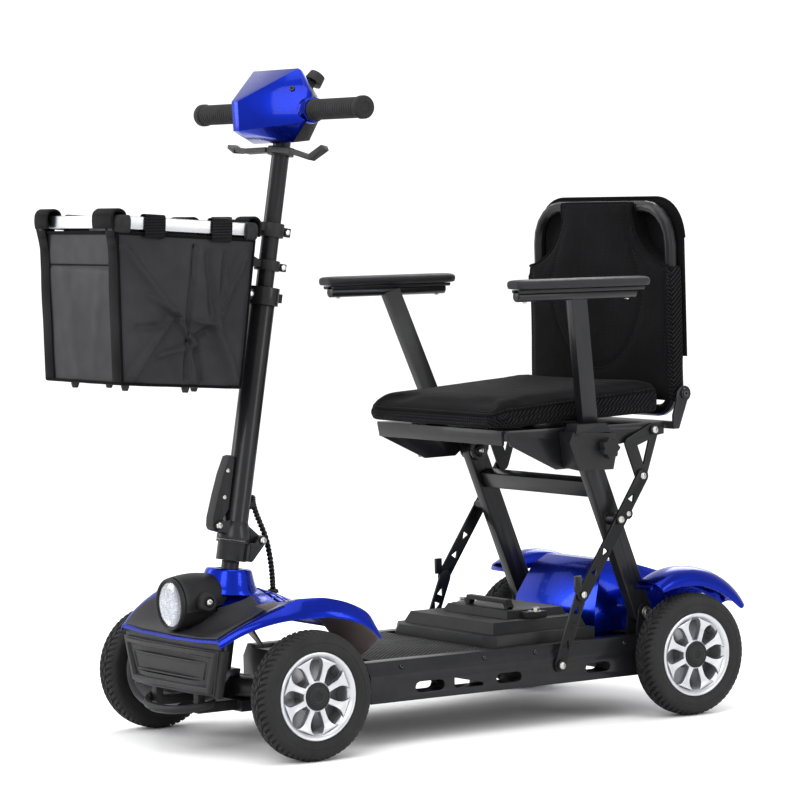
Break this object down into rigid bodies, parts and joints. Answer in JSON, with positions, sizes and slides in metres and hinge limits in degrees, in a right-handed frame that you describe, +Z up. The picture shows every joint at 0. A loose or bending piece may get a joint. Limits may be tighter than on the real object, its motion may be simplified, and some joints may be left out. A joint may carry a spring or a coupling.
{
  "type": "mobility scooter",
  "caption": "Folding mobility scooter with a padded seat, backrest and armrests, tilting tiller with wigwag throttle, front basket, front and rear covers, battery box and spoked wheels.",
  "frame": {"origin": "under the middle of the bounding box, on the ground", "axes": "+Z up, -Y to the front of the scooter, +X to the rider's left"},
  "size_m": [0.591, 1.1196, 1.0578],
  "materials": {
    "frame_black": "satin",
    "steel_black": "satin",
    "shell_blue": "gloss",
    "plastic_black": "matte",
    "tyre_rubber": "matte",
    "rim_silver": "satin",
    "rim_band": "satin",
    "mat_rubber": "matte",
    "grip_foam": "matte",
    "pad_leather": "satin",
    "fabric_black": "matte",
    "lens_clear": "gloss",
    "cable_black": "satin"
  },
  "bodies": {
    "chassis": {"floor_frame": "frame_black", "front_axle_beam": "frame_black", "motor_gearbox": "frame_black", "floor_mat": "mat_rubber", "battery_box": "plastic_black", "rear_cover": "shell_blue", "front_cowl": "shell_blue", "cowl_insert": "plastic_black", "headlight_housing": "plastic_black", "headlight_lens": "lens_clear", "front_bumper": "plastic_black", "bumper_loop": "plastic_black", "coil_cable": "cable_black"},
    "steer": {"steering_stem": "steel_black", "hinge_casting": "frame_black"},
    "knuckle_left": {"steering_knuckle_left": "steel_black"},
    "knuckle_right": {"steering_knuckle_right": "steel_black"},
    "tie_rod": {"tie_rod": "steel_black"},
    "wheel_front_left": {"front_tyre_left": "tyre_rubber", "front_rim_left": "rim_silver"},
    "wheel_front_right": {"front_tyre_right": "tyre_rubber", "front_rim_right": "rim_silver"},
    "wheel_rear_left": {"rear_tyre_left": "tyre_rubber", "rear_rim_left": "rim_silver"},
    "wheel_rear_right": {"rear_tyre_right": "tyre_rubber", "rear_rim_right": "rim_silver"},
    "tiller": {"lower_tube": "frame_black", "height_clamp": "frame_black"},
    "fold_lever": {"fold_lever": "plastic_black"},
    "tiller_top": {"upper_tube": "frame_black", "basket_bracket": "plastic_black", "basket_rim": "rim_band", "basket_bag": "fabric_black", "head_front_shell": "shell_blue", "head_rear_shell": "plastic_black", "grip_left": "grip_foam", "grip_right": "grip_foam"},
    "throttle": {"throttle_lever": "plastic_black"},
    "speed_knob": {"speed_knob": "plastic_black"},
    "seat_legs": {"seat_leg_left": "frame_black", "seat_leg_right": "frame_black", "leg_crossbar": "frame_black"},
    "seat": {"seat_pan": "frame_black", "seat_cushion": "fabric_black", "arm_socket_left": "plastic_black", "arm_socket_right": "plastic_black"},
    "upper_links": {"upper_link_left": "steel_black", "upper_link_right": "steel_black"},
    "lower_links": {"lower_link_left": "steel_black", "lower_link_right": "steel_black"},
    "seat_brackets": {"seat_bracket_left": "steel_black", "seat_bracket_right": "steel_black"},
    "backrest": {"back_frame": "frame_black", "back_cover": "fabric_black"},
    "arm_left": {"arm_post_left": "frame_black", "arm_pad_left": "pad_leather"},
    "arm_right": {"arm_post_right": "frame_black", "arm_pad_right": "pad_leather"},
    "arm_knob_left": {"arm_knob_left": "plastic_black"},
    "arm_knob_right": {"arm_knob_right": "plastic_black"}
  },
  "joints": [
    {"name": "steer_turn", "type": "hinge", "parent": "chassis", "child": "steer", "pos_m": [0, -0.298, 0.29], "axis": [0, 0.1668, 0.986], "range_deg": [-35, 35]},
    {"name": "knuckle_left_turn", "type": "hinge", "parent": "chassis", "child": "knuckle_left", "pos_m": [0.177, -0.301, 0.1], "axis": [0, 0, 1], "range_deg": [-35.5, 35.5]},
    {"name": "knuckle_right_turn", "type": "hinge", "parent": "chassis", "child": "knuckle_right", "pos_m": [-0.177, -0.301, 0.1], "axis": [0, 0, 1], "range_deg": [-35.5, 35.5]},
    {"name": "tie_rod_slide", "type": "slide", "parent": "chassis", "child": "tie_rod", "axis": [1, 0, 0], "range_m": [-0.0245, 0.0245]},
    {"name": "front_wheel_left_spin", "type": "hinge", "parent": "knuckle_left", "child": "wheel_front_left", "pos_m": [0.231, -0.301, 0.1], "axis": [1, 0, 0], "continuous": true},
    {"name": "front_wheel_right_spin", "type": "hinge", "parent": "knuckle_right", "child": "wheel_front_right", "pos_m": [-0.231, -0.301, 0.1], "axis": [1, 0, 0], "continuous": true},
    {"name": "rear_wheel_left_spin", "type": "hinge", "parent": "chassis", "child": "wheel_rear_left", "pos_m": [0.225, 0.439, 0.1], "axis": [1, 0, 0], "continuous": true},
    {"name": "rear_wheel_right_spin", "type": "hinge", "parent": "chassis", "child": "wheel_rear_right", "pos_m": [-0.225, 0.439, 0.1], "axis": [1, 0, 0], "continuous": true},
    {"name": "tiller_fold", "type": "hinge", "parent": "steer", "child": "tiller", "pos_m": [0, -0.24861, 0.31816], "axis": [-1, 0, 0], "range_deg": [0, 35], "deforming": ["coil_cable"]},
    {"name": "fold_lever_flip", "type": "hinge", "parent": "tiller", "child": "fold_lever", "pos_m": [0, -0.32696, 0.34662], "axis": [1, 0, 0], "range_deg": [0, 60]},
    {"name": "tiller_height", "type": "slide", "parent": "tiller", "child": "tiller_top", "axis": [0, 0.1668, 0.986], "range_m": [-0.02, 0.06]},
    {"name": "throttle_swing", "type": "hinge", "parent": "tiller_top", "child": "throttle", "pos_m": [0, -0.18993, 0.92893], "axis": [0, 0.1668, 0.986], "range_deg": [-14, 14], "stiffness_Nm_per_rad": 0.6},
    {"name": "speed_knob_turn", "type": "hinge", "parent": "tiller_top", "child": "speed_knob", "pos_m": [0.044, -0.16042, 1.03144], "axis": [0, 0.6374, 0.7705], "range_deg": [0, 270]},
    {"name": "seat_fold", "type": "hinge", "parent": "chassis", "child": "seat_legs", "pos_m": [0, 0.389, 0.168], "axis": [1, 0, 0], "range_deg": [0, 50]},
    {"name": "seat_level", "type": "hinge", "parent": "seat_legs", "child": "seat", "pos_m": [0, 0.287, 0.424], "axis": [1, 0, 0], "range_deg": [-50, 0]},
    {"name": "upper_link_swing", "type": "hinge", "parent": "seat_legs", "child": "upper_links", "pos_m": [0, 0.321, 0.326], "axis": [1, 0, 0], "range_deg": [-82.6, 0]},
    {"name": "lower_link_swing", "type": "hinge", "parent": "chassis", "child": "lower_links", "pos_m": [0, 0.201, 0.098], "axis": [1, 0, 0], "range_deg": [0, 82.1]},
    {"name": "seat_bracket_swing", "type": "hinge", "parent": "seat", "child": "seat_brackets", "pos_m": [0, 0.396, 0.468], "axis": [1, 0, 0], "range_deg": [0, 75.1]},
    {"name": "backrest_fold", "type": "hinge", "parent": "seat", "child": "backrest", "pos_m": [0, 0.451, 0.525], "axis": [1, 0, 0], "range_deg": [0, 32]},
    {"name": "arm_left_height", "type": "slide", "parent": "seat", "child": "arm_left", "axis": [0.2291, -0.2589, 0.9383], "range_m": [0, 0.05]},
    {"name": "arm_right_height", "type": "slide", "parent": "seat", "child": "arm_right", "axis": [-0.2291, -0.2589, 0.9383], "range_m": [0, 0.05]},
    {"name": "arm_knob_left_turn", "type": "hinge", "parent": "seat", "child": "arm_knob_left", "pos_m": [0.248, 0.261, 0.448], "axis": [1, 0, 0], "range_deg": [0, 360]},
    {"name": "arm_knob_right_turn", "type": "hinge", "parent": "seat", "child": "arm_knob_right", "pos_m": [-0.248, 0.261, 0.448], "axis": [-1, 0, 0], "range_deg": [0, 360]}
  ],
  "couplings": [
    {"joint": "knuckle_left_turn", "follows": "steer_turn", "ratio": 1},
    {"joint": "knuckle_right_turn", "follows": "steer_turn", "ratio": 1},
    {"joint": "tie_rod_slide", "follows": "steer_turn", "m_per_rad": -0.039},
    {"joint": "seat_level", "follows": "seat_fold", "ratio": -1},
    {"joint": "upper_link_swing", "follows": "seat_fold", "ratio": -1.65},
    {"joint": "lower_link_swing", "follows": "seat_fold", "ratio": 1.64},
    {"joint": "seat_bracket_swing", "follows": "seat_fold", "ratio": 1.5}
  ]
}
